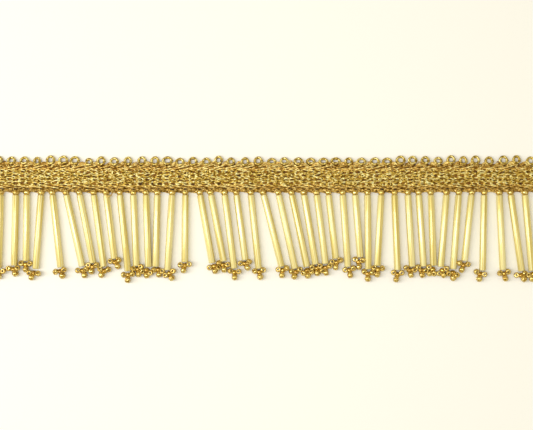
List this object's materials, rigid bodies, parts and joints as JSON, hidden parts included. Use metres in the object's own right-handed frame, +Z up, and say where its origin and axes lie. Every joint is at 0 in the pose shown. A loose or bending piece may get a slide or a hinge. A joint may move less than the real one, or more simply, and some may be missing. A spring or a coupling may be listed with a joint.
{
  "type": "beaded fringe trim",
  "caption": "Cut length of flat metallic gold braid with an edge of small loops and a fringe of long satin beads that end in small bead crosses.",
  "frame": {"origin": "middle of the braid's flat back, on the surface that the trim lies on", "axes": "+X along the braid, +Y across it towards the loops, +Z up from the back to the face"},
  "size_m": [0.2288, 0.0505, 0.0027],
  "materials": {
    "metallised_braid": "twisted metallic thread, satin with small bright glints",
    "gold_glass": "satin bugle beads and metal-lined round beads in gold glass"
  },
  "bodies": {
    "root": {"braid_heading": "metallised_braid", "bead_fringe": "gold_glass"}
  },
  "joints": []
}
